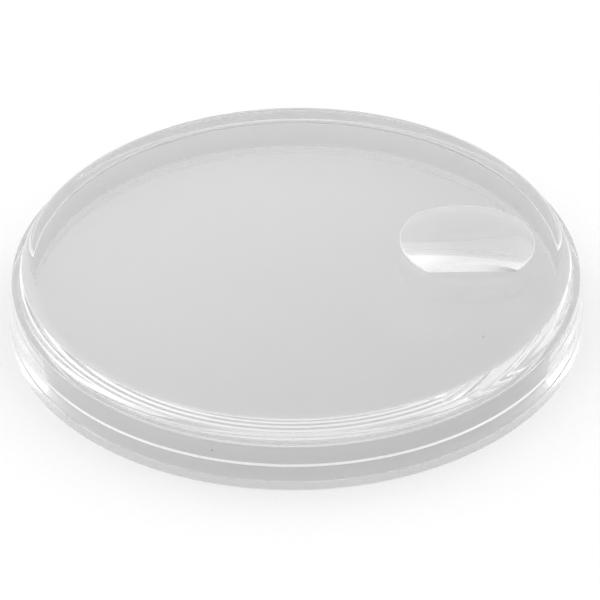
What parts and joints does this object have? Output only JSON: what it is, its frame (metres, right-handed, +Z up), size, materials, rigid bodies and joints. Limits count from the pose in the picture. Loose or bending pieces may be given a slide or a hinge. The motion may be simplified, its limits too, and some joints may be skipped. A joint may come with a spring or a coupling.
{
  "type": "watch crystal",
  "caption": "Clear acrylic watch crystal: thick, slightly domed top, rounded shoulder, bezel ledge and flared skirt, with a domed date magnifier bonded near the rim.",
  "frame": {"origin": "centre of the skirt's bottom edge, where the crystal rests", "axes": "+Z up along the crystal's axis, +X towards three o'clock where the magnifier sits, -Y towards six o'clock"},
  "size_m": [0.0304, 0.0304, 0.0052],
  "materials": {
    "acrylic": "clear, polished",
    "cement": "clear",
    "lens_acrylic": "clear, polished"
  },
  "bodies": {
    "root": {"crystal": "acrylic", "lens_cement": "cement", "date_lens": "lens_acrylic"}
  },
  "joints": []
}
